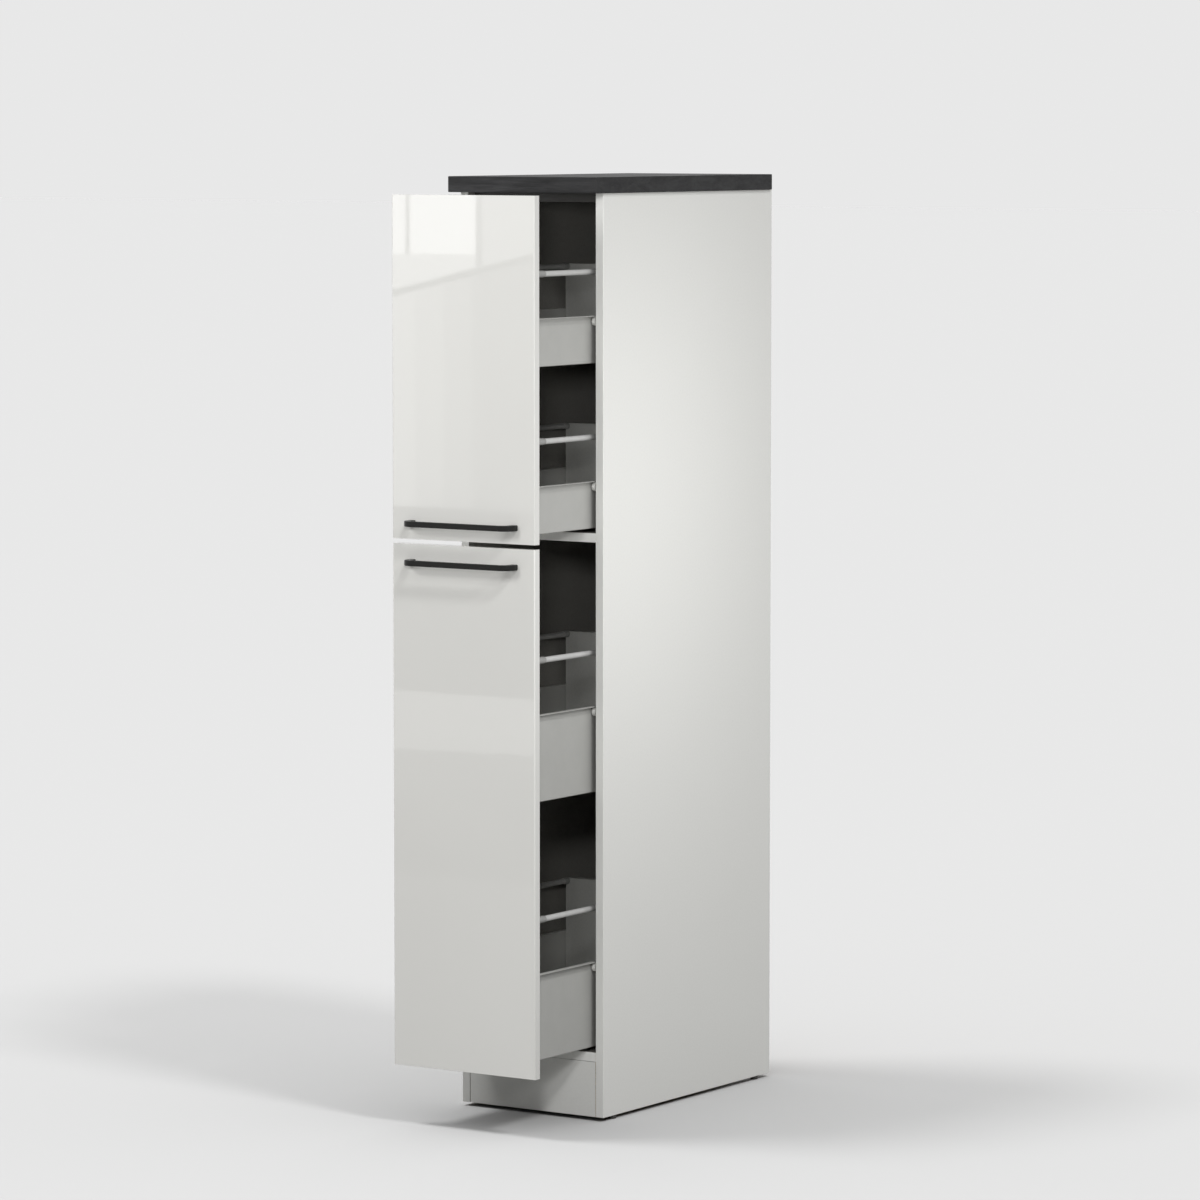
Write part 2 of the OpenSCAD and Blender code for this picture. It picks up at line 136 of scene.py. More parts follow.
def split_by_ray(tree, lighting, seen, output):
    """One shader for the light that is sent on, and another for rays that show it."""
    mix = tree.nodes.new("ShaderNodeMixShader")
    out = tree.nodes.new(output)
    tree.links.new(seen_ray(tree), mix.inputs["Fac"])
    tree.links.new(lighting, mix.inputs[1])
    tree.links.new(seen, mix.inputs[2])
    tree.links.new(mix.outputs[0], out.inputs["Surface"])


def make_sky():
    """An even white sky for soft light, which the camera sees as the pale backdrop."""
    world = bpy.data.worlds.new("studio")
    bpy.context.scene.world = world
    tree = emptied(world)
    light = shading(tree, "Background", Color=SKY_COLOUR, Strength=SKY_STRENGTH)
    shown = shading(tree, "Background", Color=BACKDROP, Strength=1.0)
    split_by_ray(tree, light, shown, "ShaderNodeOutputWorld")


def make_floor():
    """A wide level floor: pale where it is seen, darker for the light that it sends up."""
    mesh = bpy.data.meshes.new("studio_floor")
    corners = rectangle((-FLOOR_HALF, -FLOOR_HALF), (FLOOR_HALF, FLOOR_HALF))
    mesh.from_pydata([(x, y, 0) for x, y in corners], [], [(0, 1, 2, 3)])
    thing = bpy.data.objects.new("studio_floor", mesh)
    bpy.context.scene.collection.objects.link(thing)
    material = bpy.data.materials.new("studio_floor")
    tree = emptied(material)
    low = shading(tree, "BsdfDiffuse", Color=FLOOR_BOUNCE)
    seen = shading(tree, "BsdfDiffuse", Color=FLOOR_SEEN)
    split_by_ray(tree, low, seen, "ShaderNodeOutputMaterial")
    mesh.materials.append(material)
    return thing


# ---------------------------------------------------------------- lamps

# Each sun: name, direction it comes from, strength, and spread in degrees
FLOOR_SUNS = [
    ("sun_right", (1.0, -0.27, 1.26), 1.274, 10),
    ("sun_left", (-0.39, -0.20, 1.0), 1.481, 14),
    ("floor_sky", (0.0, 0.0, 1.0), 3.574, 128),
]
UNIT_SUNS = [
    ("key", (1.0, -0.62, 1.25), 0.74, 6),
    ("key_low", (1.0, -0.30, 0.62), 0.52, 8),
    ("fill_above", (-0.39, -0.20, 1.0), 0.25, 20),
]
# Each soft box for the unit: name, place, target, width and height, and power in watts. The two
# small ones at the front right draw the crisp shadows on the plinth and the middle board
SOFT_BOXES = [
    ("box_right", (0.70, -0.12, 1.12), (0.15, -0.12, 1.09), (0.7, 0.7), 1.65),
    ("box_high", (1.95, -2.2, 2.8), (0.0, -0.2, 0.9), (0.25, 0.25), 10.0),
    ("box_near", (2.1, -3.4, 1.75), (0.0, -0.1, 1.2), (0.35, 0.35), 28.0),
    ("box_face", (-0.75, -2.5, 2.25), (0.0, -0.37, 1.10), (0.7, 0.7), 20.0),
    ("box_left", (-2.2, 0.6, 1.6), (-0.15, 0.1, 0.8), (1.4, 1.8), 34.0),
    ("box_rear", (0.0, 3.2, 1.7), (0.0, 0.4, 0.9), (1.8, 1.8), 60.0),
]


def receivers(name, state, thing):
    """A collection that a lamp's light reaches alone (INCLUDE) or leaves out (EXCLUDE)."""
    group = bpy.data.collections.new(name)
    group.objects.link(thing)
    group.collection_objects[0].light_linking.link_state = state
    return group


def hang(name, data, place, target, group):
    """Puts a lamp at its place, with its -Z turned to the target, for what is in the group."""
    lamp = bpy.data.objects.new(name, data)
    lamp.location = place
    lamp.rotation_euler = (Vector(target) - Vector(place)).to_track_quat("-Z", "Y").to_euler()
    lamp.light_linking.receiver_collection = group
    bpy.context.scene.collection.objects.link(lamp)
    return lamp


def soft_box(name, place, target, size, power, group):
    """A rectangular lamp, seen by no camera and no gloss."""
    data = bpy.data.lights.new(name, "AREA")
    data.shape = "RECTANGLE"
    data.size, data.size_y = size
    data.energy = power
    lamp = hang(name, data, place, target, group)
    lamp.visible_camera = False
    lamp.visible_glossy = False


def sun(name, towards, strength, spread, group):
    """A far lamp in the direction given, whose spread softens its shadow."""
    data = bpy.data.lights.new(name, "SUN")
    data.energy = strength
    data.angle = math.radians(spread)
    hang(name, data, towards, (0, 0, 0), group)


def make_lamps(floor):
    """One set of lamps lights the floor alone, and the other everything but the floor."""
    only_floor = receivers("floor_light", "INCLUDE", floor)
    no_floor = receivers("unit_light", "EXCLUDE", floor)
    for values in FLOOR_SUNS:
        sun(*values, only_floor)
    for values in UNIT_SUNS:
        sun(*values, no_floor)
    for values in SOFT_BOXES:
        soft_box(*values, no_floor)


# ---------------------------------------------------------------- reflections in the fronts

CARD_DISTANCE = 2.6
EDGE, HIGH = 0.40, 2.0
PANE_FOOT, HAZE_FOOT = 1.519, 1.083
BAND_TOP, BAND_LEFT, BAND_RIGHT, SHADE_FOOT = 0.762, 0.654, 0.672, 0.42

# What the gloss of the fronts shows: name, corners as X and Z on the fronts, and strength. Bright
# panes stand over a dim sill, then a haze that fades to the right, and a pale band in the shade
CARDS = [
    ("pane_outer", [(-EDGE, PANE_FOOT), (-0.119, PANE_FOOT), (-0.119, HIGH), (-EDGE, HIGH)], 5.2),
    ("pane_inner", [(-0.110, PANE_FOOT), (0.028, PANE_FOOT), (0.028, HIGH), (-0.110, HIGH)], 5.2),
    ("pane_right", [(0.041, 1.500), (EDGE, 1.578), (EDGE, HIGH), (0.041, HIGH)], 2.1),
    ("pane_below", [(-EDGE, 1.398), (0.028, 1.497), (0.028, PANE_FOOT), (-EDGE, PANE_FOOT)], 3.1),
    ("sill", [(-EDGE, 1.388), (EDGE, 1.568), (EDGE, 1.578), (-EDGE, 1.398)], 0.2),
    ("haze_outer", [(-EDGE, HAZE_FOOT), (-0.10, HAZE_FOOT), (-0.10, 1.455), (-EDGE, 1.388)], 2.3),
    ("haze_middle", [(-0.10, HAZE_FOOT), (-0.04, HAZE_FOOT), (-0.04, 1.468), (-0.10, 1.455)], 1.8),
    ("haze_inner", [(-0.04, HAZE_FOOT), (0.02, HAZE_FOOT), (0.02, 1.482), (-0.04, 1.468)], 1.3),
    ("wall_shade", [(-EDGE, BAND_TOP), (EDGE, BAND_TOP), (EDGE, HAZE_FOOT), (-EDGE, HAZE_FOOT)],
     0.25),
    ("wall_band", [(-EDGE, BAND_LEFT), (EDGE, BAND_RIGHT), (EDGE, BAND_TOP), (-EDGE, BAND_TOP)],
     1.5),
    ("floor_shade", [(-EDGE, SHADE_FOOT), (EDGE, SHADE_FOOT), (EDGE, BAND_RIGHT),
                     (-EDGE, BAND_LEFT)], 0.5),
]


def gloss_card(name, corners, strength):
    """A flat light in front of the fronts that only gloss sees. A corner that shows at a point of
    a front lies further from the camera's X and Z than that point does, by the share that the
    card's distance from the fronts has of the camera's."""
    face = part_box("front_upper")[0][1]
    share = CARD_DISTANCE / (face - CAMERA_PLACE[1])
    shown = np.array(corners)
    flat = shown + (shown - [CAMERA_PLACE[0], CAMERA_PLACE[2]]) * share
    mesh = bpy.data.meshes.new(name)
    mesh.from_pydata(set_along(flat, face - CARD_DISTANCE, 1).tolist(), [], [(0, 3, 2, 1)])
    card = bpy.data.objects.new(name, mesh)
    bpy.context.scene.collection.objects.link(card)
    material = bpy.data.materials.new(name)
    tree = emptied(material)
    glow = shading(tree, "Emission", Strength=strength)
    out = tree.nodes.new("ShaderNodeOutputMaterial")
    tree.links.new(glow, out.inputs["Surface"])
    material.cycles.emission_sampling = "NONE"
    mesh.materials.append(material)
    for ray in ("camera", "diffuse", "transmission", "volume_scatter", "shadow"):
        setattr(card, "visible_" + ray, False)


# ---------------------------------------------------------------- finishes

FINISHES = {}
SPREAD = (0.3, 0.7)
WHOLE = (0.0, 1.0)
FINE = 0.1 * MM


class Finish:
    """A Principled material whose patterns read Object coordinates, kept by its name."""

    def __init__(self, name, colour, roughness, **fixed):
        material = bpy.data.materials.new(name)
        material.use_nodes = True
        FINISHES[name] = material
        self.tree = material.node_tree
        self.shader = self.tree.nodes["Principled BSDF"]
        self.shader.inputs["Base Color"].default_value = (*colour, 1.0)
        self.shader.inputs["Roughness"].default_value = roughness
        for socket, value in fixed.items():
            self.shader.inputs[socket.replace("_", " ")].default_value = value
        self.place = self.tree.nodes.new("ShaderNodeTexCoord").outputs["Object"]

    def node(self, kind, settings=None, **inputs):
        """A node with its settings and inputs; an input that is a socket is linked."""
        node = self.tree.nodes.new("ShaderNode" + kind)
        for name, value in (settings or {}).items():
            setattr(node, name, value)
        for name, value in inputs.items():
            socket = node.inputs[name.replace("_", " ")]
            if isinstance(value, bpy.types.NodeSocket):
                self.tree.links.new(value, socket)
            else:
                socket.default_value = value
        return node

    def stretched(self, stretch):
        """Object coordinates scaled along each axis."""
        return self.node("Mapping", Vector=self.place, Scale=stretch).outputs[0]

    def noise(self, scale, detail=2.0, roughness=0.5, stretch=(1, 1, 1), distortion=0.0):
        """Soft random hills, scale of them to the metre."""
        return self.node("TexNoise", Vector=self.stretched(stretch), Scale=scale, Detail=detail,
                         Roughness=roughness, Distortion=distortion).outputs["Fac"]

    def pearl(self, scale):
        """The rounded hills of small random cells, scale of them to the metre."""
        return self.node("TexVoronoi", {"feature": "SMOOTH_F1"}, Vector=self.stretched((1, 1, 1)),
                         Scale=scale).outputs["Distance"]

    def flakes(self, scale):
        """A random level in each of the cells, scale of them to the metre."""
        cells = self.node("TexVoronoi", {"feature": "F1"}, Vector=self.stretched((1, 1, 1)),
                          Scale=scale).outputs["Color"]
        return self.node("SeparateColor", Color=cells).outputs[0]

    def ranged(self, value, low, high, to_low, to_high):
        """The value carried from one range to another, and held at its ends."""
        return self.node("MapRange", Value=value, From_Min=low, From_Max=high,
                         To_Min=to_low, To_Max=to_high).outputs[0]

    def tint(self, value, low, high, *colours):
        """Colour that runs through the colours as the value goes from low to high."""
        ramp = self.node("ValToRGB", Fac=self.ranged(value, low, high, 0.0, 1.0))
        stops = ramp.color_ramp.elements
        while len(stops) < len(colours):
            stops.new(0.5)
        for item, colour in enumerate(colours):
            stops[item].position = item / (len(colours) - 1)
            stops[item].color = (*colour, 1.0)
        return ramp.outputs["Color"]

    def blend(self, share, first, second):
        """Colour from first to second by the share."""
        mix = self.node("Mix", {"data_type": "RGBA"})
        for item, socket in zip((0, 6, 7), (share, first, second)):
            self.tree.links.new(socket, mix.inputs[item])
        return mix.outputs[2]

    def paint(self, colour):
        self.tree.links.new(colour, self.shader.inputs["Base Color"])

    def mottle(self, pattern, *colours, spread=SPREAD):
        """Paints it with the colours in turn over the spread of the pattern."""
        self.paint(self.tint(pattern, *spread, *colours))

    def rough(self, pattern, low, high, spread=SPREAD):
        """Roughness from low to high over the spread of the pattern."""
        self.tree.links.new(self.ranged(pattern, *spread, low, high),
                            self.shader.inputs["Roughness"])

    def bump(self, height, strength, depth=FINE, socket="Normal"):
        """Relief from the height, depth metres deep."""
        relief = self.node("Bump", Height=height, Strength=strength, Distance=depth)
        self.tree.links.new(relief.outputs[0], self.shader.inputs[socket])


def shades(colour, *factors):
    """The colour made lighter or darker by each of the factors."""
    return [tuple(min(1.0, part * factor) for part in colour) for factor in factors]


OFF_WHITE = (0.80, 0.795, 0.765)
BOARD_WHITE = (0.79, 0.79, 0.765)
GRAPHITE = (0.240, 0.233, 0.217)
# Near-black for the top rails' front edges, which stands in for the shade under the worktop:
# painted shade
RAIL_EDGE_SHADE = (0.028, 0.027, 0.025)
STEEL_GREY = (0.41, 0.41, 0.392)
CHIP_TAN = (0.50, 0.37, 0.24)
ANTHRACITE = (0.031, 0.031, 0.032)

# Plain finishes: colour, roughness, the mottling's scale and its two colours, then the scale,
# detail and roughness of the relief, and its strength
PLAIN = {
    # The rails' near-black front edge band: painted shade
    "rail_edge_shaded": (RAIL_EDGE_SHADE, 0.5, 300.0, *shades(RAIL_EDGE_SHADE, 0.85, 1.15),
                       (900.0, 2.0, 0.5), 0.08),
    "rail_metal": ((0.50, 0.50, 0.49), 0.34, 60.0, (0.48, 0.48, 0.47), (0.52, 0.52, 0.51),
                   (1600.0, 2.0, 0.5), 0.05),
    "sleeve_plastic": ((0.30, 0.30, 0.29), 0.45, 90.0, (0.28, 0.28, 0.27), (0.32, 0.32, 0.31),
                       (2000.0, 3.0, 0.6), 0.12),
    "roller_plastic": ((0.80, 0.80, 0.77), 0.38, 220.0, (0.76, 0.76, 0.73), (0.82, 0.82, 0.79),
                       (1800.0, 2.0, 0.5), 0.06),
    "glide_plastic": ((0.028, 0.025, 0.022), 0.5, 500.0, (0.022, 0.020, 0.018),
                      (0.036, 0.033, 0.030), (1500.0, 3.0, 0.5), 0.2),
}


def make_board_finishes():
    """The gloss of the fronts, and the faces, bands and cut edges of the boards."""
    # Lacquered film under a clear coat with a faint long ripple; the upright ends get a copy 13%
    # darker, which is painted shade
    for name, depth in (("front_gloss", 1.0), ("front_end_shaded", 0.87)):
        white = shades(OFF_WHITE, depth)[0]
        gloss = Finish(name, white, 0.42, Coat_Weight=1.0, Coat_Roughness=0.022, Coat_IOR=1.5)
        gloss.mottle(gloss.noise(3.0, 3.0), *shades(white, 0.985, 1.01))
        gloss.bump(gloss.noise(34.0, 1.0), 0.05, 2 * FINE, "Coat Normal")

    # Matt melamine with a fine pearl relief
    white = Finish("board_white", BOARD_WHITE, 0.5)
    white.mottle(white.noise(260.0, 3.0), *shades(BOARD_WHITE, 0.985, 1.012))
    white.rough(white.noise(9.0, 3.0), 0.44, 0.54)
    white.bump(white.pearl(1100.0), 0.10)

    # The white edge band on the front edges is made 6% lighter than the boards: painted light
    band = Finish("edge_band_white_lit", shades(BOARD_WHITE, 1.06)[0], 0.42)
    band.mottle(band.noise(120.0, 2.0, stretch=(1, 1, 0.08)), *shades(BOARD_WHITE, 1.04, 1.08))
    band.bump(band.noise(900.0, 2.0, stretch=(1, 1, 0.15)), 0.06)

    graphite = Finish("board_graphite", GRAPHITE, 0.52)
    graphite.mottle(graphite.noise(420.0, 4.0, 0.65), *shades(GRAPHITE, 0.86, 1.14),
                    spread=(0.32, 0.68))
    graphite.rough(graphite.noise(12.0, 3.0), 0.46, 0.58)
    graphite.bump(graphite.pearl(1000.0), 0.14)

    # Bare chipboard: flat flakes of several browns
    chip = Finish("chipboard", CHIP_TAN, 0.85)
    chip.mottle(chip.flakes(520.0), *shades(CHIP_TAN, 0.55, 1.0, 1.35), spread=WHOLE)
    chip.bump(chip.noise(700.0, 4.0, 0.7), 0.5, 4 * FINE)

    # Hard fibreboard with fine fibres
    back = Finish("back_fibre", (0.30, 0.205, 0.125), 0.8)
    back.mottle(back.noise(160.0, 6.0, 0.75, (1.0, 1.0, 0.35), 0.6),
                (0.235, 0.155, 0.09), (0.31, 0.215, 0.135), (0.385, 0.28, 0.18))
    back.bump(back.noise(600.0, 5.0, 0.7), 0.25, 2 * FINE)

    # Anthracite laminate: fine streaks along X in a mottled ground; the ends get a copy 45%
    # darker, which is painted shade
    for name, depth in (("worktop", 1.0), ("worktop_end_shaded", 0.55)):
        top = Finish(name, shades(ANTHRACITE, depth)[0], 0.52, Specular_IOR_Level=0.22)
        streaks = top.noise(46.0, 8.0, 0.66, (0.16, 0.5, 1.3), 0.8)
        clouds = top.noise(15.0, 4.0, 0.6, (0.5, 1.0, 1.6), 0.4)
        threads = top.noise(420.0, 3.0, 0.6, (0.07, 0.3, 1.0))
        ground = top.tint(streaks, 0.33, 0.67,
                          *shades(ANTHRACITE, 0.55 * depth, depth, 1.65 * depth))
        light = top.tint(threads, 0.36, 0.66, *shades(ANTHRACITE, 0.7 * depth, 1.75 * depth))
        top.paint(top.blend(top.ranged(clouds, 0.35, 0.65, 0.15, 0.7), ground, light))
        top.rough(streaks, 0.60, 0.42)
        top.bump(streaks, 0.22, 3 * FINE)


def make_fitting_finishes():
    """The drawers' steel and boards, the handles' powder coat, the zinc and the plastics."""
    steel = Finish("drawer_steel", STEEL_GREY, 0.42)
    steel.mottle(steel.noise(30.0, 4.0), *shades(STEEL_GREY, 0.975, 1.02))
    steel.rough(steel.noise(160.0, 2.0), 0.38, 0.48)
    steel.bump(steel.noise(1500.0, 2.0, 0.5), 0.12)

    board = Finish("drawer_board", shades(STEEL_GREY, 0.9)[0], 0.55)
    board.mottle(board.noise(300.0, 4.0, 0.6), *shades(STEEL_GREY, 0.85, 0.95))
    board.bump(board.pearl(1000.0), 0.12)

    # Powder coat: a fine grain with tiny hollows
    black = Finish("handle_black", (0.007, 0.007, 0.0065), 0.36, Specular_IOR_Level=0.22)
    black.mottle(black.noise(700.0, 3.0, 0.6), (0.008, 0.008, 0.0075), (0.013, 0.013, 0.012))
    black.rough(black.noise(90.0, 3.0), 0.32, 0.42)
    black.bump(black.noise(2600.0, 2.0, 0.6), 0.22)

    # Zinc plate with the spangle of its crystals
    zinc = Finish("zinc", (0.62, 0.63, 0.64), 0.34, Metallic=1.0)
    spangle = zinc.flakes(260.0)
    zinc.mottle(spangle, (0.56, 0.57, 0.585), (0.67, 0.68, 0.69), spread=WHOLE)
    zinc.rough(spangle, 0.28, 0.42, spread=WHOLE)
    zinc.bump(zinc.noise(1400.0, 2.0), 0.08)

    drawn = (0.1, 1, 1)
    strip = Finish("strip_plastic", (0.72, 0.72, 0.70), 0.4)
    strip.mottle(strip.noise(50.0, 3.0, stretch=drawn), (0.70, 0.70, 0.68), (0.74, 0.74, 0.72))
    strip.bump(strip.noise(1200.0, 2.0, stretch=drawn), 0.08)

    for name, (colour, roughness, scale, first, last, relief, strength) in PLAIN.items():
        plain = Finish(name, colour, roughness)
        plain.mottle(plain.noise(scale, 3.0), first, last)
        plain.bump(plain.noise(*relief), strength)


# ---------------------------------------------------------------- surfaces

def unit(vectors):
    """The vectors at length one."""
    return vectors / np.maximum(np.linalg.norm(vectors, axis=-1, keepdims=True), 1e-12)


def eased(corners, radii, steps=3):
    """A closed outline with its corners rounded. At each corner the arc touches both sides, and
    its points are turned evenly from one touching point to the other round the arc's middle."""
    corners = np.asarray(corners, float)
    radii = np.broadcast_to(np.asarray(radii, float), len(corners))[:, None]
    back = unit(np.roll(corners, 1, axis=0) - corners)
    ahead = unit(np.roll(corners, -1, axis=0) - corners)
    opening = np.arccos(np.clip((back * ahead).sum(1), -1, 1))[:, None]
    middle = corners + unit(back + ahead) * radii / np.sin(opening / 2)
    reach = radii / np.tan(opening / 2)
    first, last = corners + back * reach - middle, corners + ahead * reach - middle
    turn = (math.pi - opening)[:, None]
    share = np.linspace(0, 1, steps + 1)[None, :, None]
    arc = (np.sin((1 - share) * turn) * first[:, None] + np.sin(share * turn) * last[:, None])
    return (middle[:, None] + arc / np.sin(turn)).reshape(-1, 2)


def outward(outline):
    """The outward direction at each point of a closed flat outline, long enough at a corner for
    both sides there to move by one."""
    ahead = unit(np.roll(outline, -1, axis=0) - outline)
    back = unit(outline - np.roll(outline, 1, axis=0))
    across = unit(ahead + back)
    normal = np.stack([across[:, 1], -across[:, 0]], 1)
    side = np.stack([ahead[:, 1], -ahead[:, 0]], 1)
    normal = normal / np.maximum((normal * side).sum(1, keepdims=True), 0.5)
    x, y = outline.T
    area = (x * np.roll(y, -1) - np.roll(x, -1) * y).sum()
    return normal * np.sign(area)


def set_along(flat, along, axis):
    """Points from two flat coordinates and one along the axis, in the order X, Y, Z."""
    return np.insert(flat, axis, along, axis=-1)


def carried(outline, start, end, axis, ease=0.4 * MM, steps=3):
    """The rows of points of an outline carried straight along an axis. Near each end the outline
    shrinks along its outward directions as a quarter circle, which eases the end's edges."""
    turn = np.linspace(0, math.pi / 2, steps + 1)
    inset = ease * (1 - np.sin(turn))
    along = np.r_[start + ease * (1 - np.cos(turn)), (end - ease * (1 - np.cos(turn)))[::-1]]
    inset = np.r_[inset, inset[::-1]]
    flat = outline[None] - outward(outline)[None] * inset[:, None, None]
    rows = np.broadcast_to(along[:, None], flat.shape[:2])
    return set_along(flat, rows, axis)


def turned(profile, centre, axis, around=48):
    """The rows of points of a profile turned round an axis: each point's radius and height give a
    circle of points, which lies flat across the axis at that height from the centre."""
    radius, height = np.asarray(profile, float).T
    angle = np.linspace(0, 2 * math.pi, around, endpoint=False)
    flat = radius[:, None, None] * np.stack([np.cos(angle), np.sin(angle)], 1)[None]
    rows = np.broadcast_to(height[:, None], flat.shape[:2])
    return set_along(flat, rows, axis) + np.asarray(centre, float)


def skin(rows, closed_path=False):
    """Points and faces of rows of points. Each row is a closed ring, neighbours are joined by one
    quad per step, and the first and last rings are filled, unless the path itself is closed."""
    count, size = rows.shape[:2]
    number = np.arange(count * size).reshape(count, size)
    ring = np.c_[number, number[:, :1]]
    if closed_path:
        ring = np.r_[ring, ring[:1]]
    quads = np.stack([ring[:-1, :-1], ring[:-1, 1:], ring[1:, 1:], ring[1:, :-1]], -1)
    faces = quads.reshape(-1, 4).tolist()
    if not closed_path:
        faces += [number[0][::-1].tolist(), number[-1].tolist()]
    return facing_out(rows.reshape(-1, 3), faces)


def facing_out(points, faces):
    """The same shell with its faces turned outwards: its volume, summed from the origin over a fan
    of triangles in each face, has to be positive."""
    fans = [(face[0], face[item], face[item + 1])
            for face in faces for item in range(1, len(face) - 1)]
    first, second, third = points[np.array(fans)].transpose(1, 0, 2)
    volume = (first * np.cross(second, third)).sum()
    return points, faces if volume > 0 else [face[::-1] for face in faces]


def joined(*shells):
    """Several shells as one list of points and one of faces."""
    points, faces, offset = [], [], 0
    for shell_points, shell_faces in shells:
        points.append(shell_points)
        faces += [[corner + offset for corner in face] for face in shell_faces]
        offset += len(shell_points)
    return np.concatenate(points), faces


def flipped(shell):
    """The shell's mirror image across the unit's middle plane, with its faces outwards."""
    points, faces = shell
    return points * [-1, 1, 1], [face[::-1] for face in faces]


def mirrored(shell):
    """The shell and its mirror image."""
    return joined(shell, flipped(shell))


def span(node):
    """The node's lowest and highest corner as arrays."""
    low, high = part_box(node)
    return np.array(low), np.array(high)


def rectangle(low, high):
    """The four corners of a rectangle, in turn."""
    return [(low[0], low[1]), (high[0], low[1]), (high[0], high[1]), (low[0], high[1])]


# ---------------------------------------------------------------- pieces

def looks_along(axis, sign=0):
    """A rule for the faces that look along an axis: both ways, or only the sign's way."""
    if sign:
        return lambda middle, normal: normal[axis] * sign > 0.7
    return lambda middle, normal: np.abs(normal[axis]) > 0.7


def lies_ahead(place):
    """A rule for the faces whose middle lies further to the front than a place on Y."""
    return lambda middle, normal: middle[1] < place


def finish_faces(mesh, materials, rules):
    """Sets each face's material: the last rule that holds for its middle and its outward
    direction gives the number of the material."""
    for name in materials:
        mesh.materials.append(FINISHES[name])
    count = len(mesh.polygons)
    middle, normal = np.empty(count * 3), np.empty(count * 3)
    mesh.polygons.foreach_get("center", middle)
    mesh.polygons.foreach_get("normal", normal)
    choice = np.zeros(count, np.int32)
    for rule, number in rules:
        choice[rule(middle.reshape(-1, 3).T, normal.reshape(-1, 3).T)] = number
    mesh.polygons.foreach_set("material_index", choice)


def smooth_by_angle(mesh, limit):
    """Smooth shading, with every edge sharper than the limit in degrees kept crisp, and with the
    level and upright faces flat."""
    mesh.set_sharp_from_angle(angle=math.radians(limit))
    normal = np.empty(len(mesh.polygons) * 3)
    mesh.polygons.foreach_get("normal", normal)
    square = np.abs(normal.reshape(-1, 3)).max(1) > 0.99999
    mesh.polygons.foreach_set("use_smooth", ~square)


def shell_mesh(name, shell, materials, rules=(), limit=35):
    """A shell as a mesh with its finishes and shading."""
    points, faces = shell
    mesh = bpy.data.meshes.new(name)
    mesh.from_pydata(points.tolist(), [], faces)
    mesh.validate()
    finish_faces(mesh, materials, rules)
    smooth_by_angle(mesh, limit)
    return mesh


def in_scene(name, mesh):
    """An object for the mesh, at the origin."""
    thing = bpy.data.objects.new(name, mesh)
    bpy.context.scene.collection.objects.link(thing)
    return thing


def stands_for(thing, node):
    """Puts a piece in the place of a CAD node, on its body, and hides the node."""
    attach(thing, NODES[node]["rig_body"])
    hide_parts(node)


def piece(name, shell, node, materials, rules=(), limit=35):
    """A new piece that stands for a CAD node."""
    stands_for(in_scene(name, shell_mesh(name, shell, materials, rules, limit)), node)


def eased_copy(name, node, ease, materials, rules=()):
    """A copy of a CAD node with holes or pockets: its doubles are merged, its flat faces made
    whole, and its sharp edges eased by a bevel of the width given."""
    work = bmesh.new()
    work.from_mesh(NODES[node].data)
    bmesh.ops.remove_doubles(work, verts=work.verts, dist=0.001 * MM)
    bmesh.ops.dissolve_limit(work, angle_limit=math.radians(0.5), verts=work.verts,
                             edges=work.edges)
    sharp = [edge for edge in work.edges
             if edge.is_manifold and edge.calc_face_angle(0.0) > math.radians(40)]
    bmesh.ops.bevel(work, geom=sharp, offset=ease, segments=2, profile=0.5, affect="EDGES",
                    clamp_overlap=True)
    mesh = bpy.data.meshes.new(name)
    work.to_mesh(mesh)
    work.free()
    for left_over in [part.name for part in mesh.attributes if "normal" in part.name]:
        mesh.attributes.remove(mesh.attributes[left_over])
    finish_faces(mesh, materials, rules)
    smooth_by_angle(mesh, 50)
    stands_for(in_scene(name, mesh), node)


# ---------------------------------------------------------------- cabinet

STEEL = 1.2 * MM
BACK_T = 3 * MM
GROOVE_DEPTH, GROOVE_PLAY = 8 * MM, 0.3 * MM


def make_side_panels():
    """Each panel is its level section, with the groove for the back, carried up its height."""
    back_front = span("back_panel_lower")[0][1]
    groove_front = back_front - GROOVE_PLAY / 2
    groove_rear = back_front + BACK_T + GROOVE_PLAY / 2
    radii = np.array([1.0, 0.4, 0.4, 0.2, 0.1, 0.1, 0.2, 0.8]) * MM
    for sign, side in SIDES:
        low, high = span("side_panel_" + side)
        outer, inner = (high[0], low[0]) if sign > 0 else (low[0], high[0])
        front, rear = low[1], high[1]
        deep = inner + sign * GROOVE_DEPTH
        section = [(outer, front), (outer, rear), (inner, rear), (inner, groove_rear),
                   (deep, groove_rear), (deep, groove_front), (inner, groove_front),
                   (inner, front)]
        rows = carried(eased(section, radii), low[2], high[2], 2)
        piece("panel_" + side, skin(rows), "side_panel_" + side,
              ["board_white", "board_graphite", "edge_band_white_lit", "chipboard"],
              [(looks_along(0, -sign), 1), (lies_ahead(front + 0.6 * MM), 2),
               (looks_along(2), 3), (looks_along(1, 1), 3)])


def make_boards():
    """The boards and top rails, with the pockets under them. A board's rear edge is bare, but the
    faces in its pockets aren't."""
    band = 0.5 * MM
    for node in ("bottom_board", "middle_board"):
        low, high = span(node)
        rear = high[1] - 1 * MM
        eased_copy(node + "_faced", node, 0.4 * MM,
                   ["board_graphite", "edge_band_white_lit", "chipboard"],
                   [(looks_along(0), 2),
                    (lambda middle, normal, r=rear: (normal[1] > 0.7) & (middle[1] > r), 2),
                    (lies_ahead(low[1] + band), 1)])
    # The rails' front edges take the near-black band, which is painted shade under the worktop
    for node in ("front_top_rail", "rear_top_rail"):
        front = span(node)[0][1]
        eased_copy(node + "_faced", node, 0.4 * MM,
                   ["board_graphite", "rail_edge_shaded", "chipboard"],
                   [(looks_along(0), 2), (looks_along(1, 1), 2), (lies_ahead(front + band), 1)])


